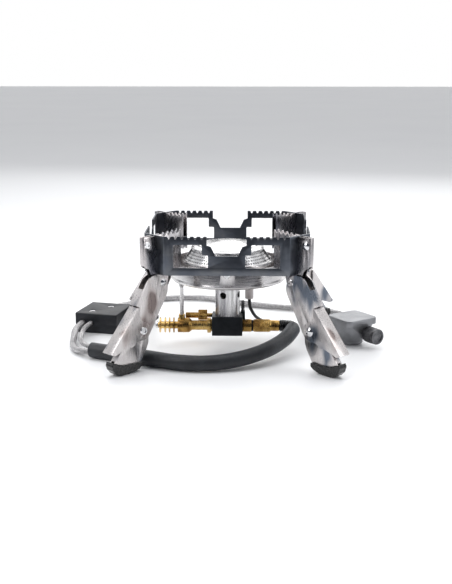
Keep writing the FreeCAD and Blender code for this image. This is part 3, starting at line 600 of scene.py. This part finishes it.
def softCopy(node, width=None):
    shape = bmesh.new()
    shape.from_mesh(nodes[node].data)
    bmesh.ops.remove_doubles(shape, verts=shape.verts, dist=softening["weld"] * mm)
    bmesh.ops.dissolve_limit(shape, angle_limit=math.radians(softening["flatAngle"]),
                             verts=shape.verts, edges=shape.edges)
    bmesh.ops.recalc_face_normals(shape, faces=shape.faces)
    if node in sheetNodes:
        # Broad faces keep the panel finish in slot 0. Narrow edge faces take slot 1, the painted
        # edge highlight, and so do the bevels made below.
        axes = sheetAxes(node)
        for face in shape.faces:
            face.material_index = 0 if isSheetFace(face, axes) else 1
    turn = math.radians(softening["turn"])
    sharp = [edge for edge in shape.edges
             if len(edge.link_faces) == 2 and edge.calc_face_angle(0.0) > turn]
    bmesh.ops.bevel(shape, geom=sharp, offset=(width or softening["width"]) * mm,
                    affect="EDGES", segments=softening["segments"], profile=0.5,
                    clamp_overlap=True, material=1 if node in sheetNodes else -1)
    obj = meshFrom(node + "_soft", shape)
    smooth(obj, softening["shadeAngle"])
    return obj


def bodyOf(node):
    return nodes[node]["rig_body"]


def slotOf(node):
    return nodes[node].data.materials[0].name.split(".")[0]


plainNodes = ["drip_pan", "pan_screws", "burner_cup", "burner_cap", "manifold_block",
              "finned_barrel", "barrel_tip", "side_spigot", "inlet_ring", "knurled_coupling",
              "igniter_box_lower", "igniter_box_upper", "igniter_box_screws", "valve_body",
              "valve_hose_nut", "air_screw"]
bevelWidths = {"pot_ring": 0.3, "igniter_box_screws": 0.1, "pan_screws": 0.1, "air_screw": 0.12,
               "valve_body": 0.3, "manifold_block": 0.35, "finned_barrel": 0.12}


def makeSoftCopies():
    for node in sheetNodes + plainNodes:
        obj = softCopy(node, bevelWidths.get(node))
        slot = slotOf(node)
        paints = [finishes[slotFinish[slot]]]
        if node in sheetNodes:
            # Sheet pieces get the painted edge highlight as their second finish.
            paints.append(finishes["paintedEdgeHighlight"])
        finishPiece(obj, slot, *paints, body=bodyOf(node), replaces=(node,))


makeSoftCopies()
print("edges softened")


# Pieces made by node trees: lengths here are in metres.
weldGap = 0.00001


def newTree(name, sizes):
    tree = bpy.data.node_groups.new(name, "GeometryNodeTree")
    tree.is_modifier = True
    ports = tree.interface
    ports.new_socket("Geometry", in_out="INPUT", socket_type="NodeSocketGeometry")
    for label, value in sizes.items():
        kind = "NodeSocketInt" if isinstance(value, int) else "NodeSocketFloat"
        ports.new_socket(label, in_out="INPUT", socket_type=kind)
    ports.new_socket("Geometry", in_out="OUTPUT", socket_type="NodeSocketGeometry")
    given = {socket.name: socket for socket in tree.nodes.new("NodeGroupInput").outputs}
    return tree, given, tree.nodes.new("NodeGroupOutput").inputs


def step(tree, kind, **wires):
    node = tree.nodes.new(kind)
    for label, value in wires.items():
        socket = node.inputs[label.replace("_", " ")]
        if isinstance(value, bpy.types.NodeSocket):
            tree.links.new(value, socket)
        else:
            socket.default_value = value
    return node


def placeSpots(tree, shape, x, y, z):
    spot = step(tree, "ShaderNodeCombineXYZ", X=x, Y=y, Z=z)
    moved = step(tree, "GeometryNodeSetPosition", Geometry=shape, Position=spot.outputs[0])
    return moved.outputs[0]


def closeTree(tree, shape, material, out):
    whole = step(tree, "GeometryNodeRealizeInstances", Geometry=shape)
    joined = step(tree, "GeometryNodeMergeByDistance", Geometry=whole.outputs[0],
                  Distance=weldGap)
    painted = step(tree, "GeometryNodeSetMaterial", Geometry=joined.outputs[0],
                   Material=material)
    tree.links.new(painted.outputs[0], out[0])


# Sets the tree's inputs on the object, gives it a wall if asked, and keeps the plain mesh.
def runTree(obj, tree, sizes, wall=0.0):
    modifier = obj.modifiers.new("pattern", "NODES")
    modifier.node_group = tree
    for item in tree.interface.items_tree:
        if item.in_out == "INPUT" and item.name in sizes:
            modifier[item.identifier] = sizes[item.name]
    if wall:
        solid = obj.modifiers.new("wall", "SOLIDIFY")
        solid.thickness = wall
        solid.offset = -1.0
    bpy.context.view_layer.update()
    view = bpy.context.evaluated_depsgraph_get()
    made = bpy.data.meshes.new_from_object(obj.evaluated_get(view))
    obj.modifiers.clear()
    obj.data = made


skirt = {"Columns": 94, "Rows": 4, "Foot Radius": 0.0395, "Head Radius": 0.0325,
         "Foot Height": 0.0835, "Head Height": 0.093}
# Millimetres, and the hole's half width and half height as shares of its cell.
skirtForm = {"wall": 0.6, "shift": -0.9, "holeShare": (0.31, 0.27), "outerShare": 0.2}


def holeTile():
    shape = bmesh.new()
    edge = [(-0.5, -0.5), (0, -0.5), (0.5, -0.5), (0.5, 0), (0.5, 0.5), (0, 0.5), (-0.5, 0.5),
            (-0.5, 0)]
    outer = [shape.verts.new((x, y, 0)) for x, y in edge]
    wide, tall = skirtForm["holeShare"]
    inner = []
    for k in range(8):
        angle = math.radians(225 + 45 * k)
        inner.append(shape.verts.new((wide * math.cos(angle), tall * math.sin(angle), 0)))
    for k in range(8):
        n = (k + 1) % 8
        shape.faces.new((outer[k], outer[n], inner[n], inner[k]))
    return meshFrom("burner_skirt_holes", shape)


# A grid of hole tiles, every other row shifted by half a tile, wrapped round a cone.
def makeSkirt():
    tree, size, out = newTree("perforatedCone", skirt)
    wide = calc(tree, "SUBTRACT", size["Columns"], 1.0)
    tall = calc(tree, "SUBTRACT", size["Rows"], 1.0)
    grid = step(tree, "GeometryNodeMeshGrid", Size_X=wide, Size_Y=tall,
                Vertices_X=size["Columns"], Vertices_Y=size["Rows"])
    here = tree.nodes.new("GeometryNodeInputPosition").outputs[0]
    split = step(tree, "ShaderNodeSeparateXYZ", Vector=here)
    centred = calc(tree, "ADD", split.outputs["Y"], calc(tree, "MULTIPLY", tall, 0.5))
    row = calc(tree, "ROUND", centred)
    stagger = calc(tree, "MULTIPLY", calc(tree, "MODULO", row, 2.0), 0.5)
    moved = step(tree, "ShaderNodeCombineXYZ", X=stagger, Y=0.0, Z=0.0)
    staggered = step(tree, "GeometryNodeSetPosition", Geometry=grid.outputs[0],
                     Offset=moved.outputs[0])
    tiles = step(tree, "GeometryNodeInstanceOnPoints", Points=staggered.outputs[0],
                 Instance=size["Geometry"])
    real = step(tree, "GeometryNodeRealizeInstances", Geometry=tiles.outputs[0])
    share = calc(tree, "DIVIDE", split.outputs["X"], size["Columns"])
    turn = calc(tree, "MULTIPLY", share, 2 * math.pi)
    rise = calc(tree, "ADD", calc(tree, "DIVIDE", split.outputs["Y"], size["Rows"]), 0.5)
    narrow = calc(tree, "SUBTRACT", size["Head Radius"], size["Foot Radius"])
    radius = calc(tree, "ADD", size["Foot Radius"], calc(tree, "MULTIPLY", narrow, rise))
    height = calc(tree, "SUBTRACT", size["Head Height"], size["Foot Height"])
    z = calc(tree, "ADD", size["Foot Height"], calc(tree, "MULTIPLY", height, rise))
    x = calc(tree, "MULTIPLY", radius, calc(tree, "COSINE", turn))
    y = calc(tree, "MULTIPLY", radius, calc(tree, "SINE", turn))
    closeTree(tree, placeSpots(tree, real.outputs[0], x, y, z), finishes["burnerSteel"], out)
    obj = holeTile()
    shift = skirtForm["shift"] * mm
    runTree(obj, tree, skirt, skirtForm["wall"] * mm)
    obj.data.transform(Matrix.Translation((shift, 0, 0)))
    smooth(obj, 35.0)
    finishPiece(obj, "burner_steel", finishes["burnerSteel"], finishes["skirtInsideShade"],
                replaces=("burner_skirt",))
    # Outward faces keep the burner steel. Inner faces and hole walls take the painted shade.
    for face in obj.data.polygons:
        outward = Vector((face.center.x - shift, face.center.y, 0)).normalized()
        facesOut = face.normal.dot(outward) > skirtForm["outerShare"]
        face.material_index = 0 if facesOut else 1


couplingKnurl = {"Radius": 0.00562, "Length": 0.0150, "Depth": 0.00038, "Turns": 30.0,
                 "Crossings": 13.0, "Steps Round": 361, "Steps Along": 79}
knobKnurl = {"Radius": 0.00712, "Length": 0.0108, "Depth": 0.00032, "Turns": 40.0,
             "Crossings": 0.0, "Steps Round": 321, "Steps Along": 13}
knurlFade = 14.0    # how fast the ridges rise from the two ends


# A grid rolled into a tube, with crossing ridges that fade at its ends.
def makeKnurl(name, sizes, material, place):
    tree, size, out = newTree(name + "Pattern", sizes)
    grid = step(tree, "GeometryNodeMeshGrid", Size_X=1.0, Size_Y=1.0,
                Vertices_X=size["Steps Round"], Vertices_Y=size["Steps Along"])
    here = tree.nodes.new("GeometryNodeInputPosition").outputs[0]
    split = step(tree, "ShaderNodeSeparateXYZ", Vector=here)
    turns = calc(tree, "MULTIPLY", split.outputs["X"], size["Turns"])
    crossings = calc(tree, "MULTIPLY", split.outputs["Y"], size["Crossings"])
    around = calc(tree, "MULTIPLY", turns, math.pi)
    along = calc(tree, "MULTIPLY", crossings, math.pi)
    first = calc(tree, "SINE", calc(tree, "ADD", around, along))
    second = calc(tree, "SINE", calc(tree, "SUBTRACT", around, along))
    ridge = calc(tree, "ABSOLUTE", calc(tree, "MULTIPLY", first, second))
    ends = calc(tree, "SUBTRACT", 0.5, calc(tree, "ABSOLUTE", split.outputs["Y"]))
    fade = calc(tree, "MINIMUM", calc(tree, "MULTIPLY", ends, knurlFade), 1.0)
    lift = calc(tree, "MULTIPLY", calc(tree, "MULTIPLY", ridge, fade), size["Depth"])
    radius = calc(tree, "ADD", size["Radius"], lift)
    turn = calc(tree, "MULTIPLY", split.outputs["X"], 2 * math.pi)
    x = calc(tree, "MULTIPLY", radius, calc(tree, "COSINE", turn))
    y = calc(tree, "MULTIPLY", radius, calc(tree, "SINE", turn))
    z = calc(tree, "MULTIPLY", split.outputs["Y"], size["Length"])
    closeTree(tree, placeSpots(tree, grid.outputs[0], x, y, z), material, out)
    obj = addObject(name, bpy.data.meshes.new(name))
    runTree(obj, tree, sizes)
    obj.data.transform(place)
    smooth(obj, 40.0)
    return obj


def alongWay(centre, way):
    turned = Vector(way).to_track_quat("Z", "Y").to_matrix().to_4x4()
    return Matrix.Translation(Vector(centre) * mm) @ turned


coupling = {"centre": (31.0, -1.0, 19.8), "way": (1, 0, 0)}
valve = {"centre": (115.8, 13.0), "turn": 35.0, "knobX": 4.5, "knobHeight": 12.0,
         "knobMiddle": -23.2}


def makeKnurls():
    ridged = makeKnurl("coupling_knurl", couplingKnurl, finishes["brass"],
                       alongWay(coupling["centre"], coupling["way"]))
    finishPiece(ridged, "brass", finishes["brass"])
    middle = turnSpot((valve["knobX"], valve["knobMiddle"], valve["knobHeight"]),
                      valve["centre"], valve["turn"])
    way = turnSpot((0, -1, 0), (0, 0), valve["turn"])
    knob = makeKnurl("knob_knurl", knobKnurl, finishes["darkSteel"], alongWay(middle, way))
    finishPiece(knob, slotOf("valve_knob"), finishes["darkSteel"], body="valve_knob")


makeSkirt()
makeKnurls()
print("perforations and knurls made")


# Millimetres, degrees, and shares of the elbow's half width.
elbow = {"start": (47.6, -1.0, 19.8), "bend": 50.5, "radius": 9.5, "turn": 110.0, "half": 5.5,
         "wrinkle": 2.3, "runSteps": 6, "bendSteps": 48, "sides": 48, "fill": 0.985,
         "crease": 0.05, "skew": 1.3, "innerShare": 0.35, "lump": 0.05, "lumpPitch": 240.0,
         "lumpSpread": 1.2}


# The creases lie deeper on the inside of the bend.
def makeElbow():
    spots = []
    x, y, z = elbow["start"]
    for k in range(elbow["runSteps"]):
        spots.append(Vector((x + (elbow["bend"] - x) * k / elbow["runSteps"], y, z)) * mm)
    for k in range(elbow["bendSteps"] + 1):
        angle = math.radians(elbow["turn"] * k / elbow["bendSteps"])
        spots.append(Vector((elbow["bend"] + elbow["radius"] * math.sin(angle),
                             y - elbow["radius"] * (1 - math.cos(angle)), z)) * mm)
    around = elbow["lumpSpread"]
    shallow = elbow["innerShare"]

    def radiusAt(along, angle):
        wave = 2 * math.pi * along / (elbow["wrinkle"] * mm)
        creased = math.sin(wave + elbow["skew"] * math.sin(2 * angle))
        place = (along * elbow["lumpPitch"], math.cos(angle) * around, math.sin(angle) * around)
        lump = noise.noise(Vector(place))
        deep = shallow + (1 - shallow) * max(0.0, math.cos(angle))
        return elbow["half"] * mm * (elbow["fill"] + elbow["crease"] * deep * creased
                                     + elbow["lump"] * lump)

    obj = meshFrom("elbow_rubber", sweep(spots, radiusAt, elbow["sides"]))
    finishPiece(obj, "gloss_rubber", finishes["bootRubber"], replaces=("hose_elbow",))


boot = {"voxel": 0.42, "relaxSteps": 4, "relaxShare": 0.5, "fold": 0.28, "foldPitch": 260.0,
        "foldRise": 420.0, "legShift": 3.1, "flatFoot": 3.0}


# Each boot is its CAD shape with rounded edges and soft folds that fade out near the ground.
def makeBoots():
    for leg in legNames:
        node = "foot_boot_" + leg
        obj = addObject("boot_rubber_" + leg, nodes[node].data.copy())
        remesh = obj.modifiers.new("skin", "REMESH")
        remesh.mode = "VOXEL"
        remesh.voxel_size = boot["voxel"] * mm
        relax = obj.modifiers.new("relax", "SMOOTH")
        relax.iterations = boot["relaxSteps"]
        relax.factor = boot["relaxShare"]
        bpy.context.view_layer.update()
        view = bpy.context.evaluated_depsgraph_get()
        made = bpy.data.meshes.new_from_object(obj.evaluated_get(view))
        obj.modifiers.clear()
        obj.data = made
        angle = math.radians(legAngles[leg])
        outward = Vector((math.cos(angle), math.sin(angle), 0))
        for vertex in made.vertices:
            place = (vertex.co.dot(outward) * boot["foldPitch"], vertex.co.z * boot["foldRise"],
                     boot["legShift"] * len(leg))
            low = min(1.0, max(0.0, vertex.co.z / (boot["flatFoot"] * mm)))
            fold = noise.noise(Vector(place))
            vertex.co += vertex.normal * (fold * boot["fold"] * mm * low)
        made.shade_smooth()
        finishPiece(obj, slotOf(node), finishes["bootRubber"], body=bodyOf(node),
                    replaces=(node,))


makeElbow()
makeBoots()
print("rubber made")

# The CAD nodes that stay in view get their finishes too.
for name, obj in nodes.items():
    obj.data.materials[0] = finishes[slotFinish[slotOf(name)]]
nodes["mixing_tube"].data.materials[0] = finishes["tubeSteel"]
print("carried nodes painted")
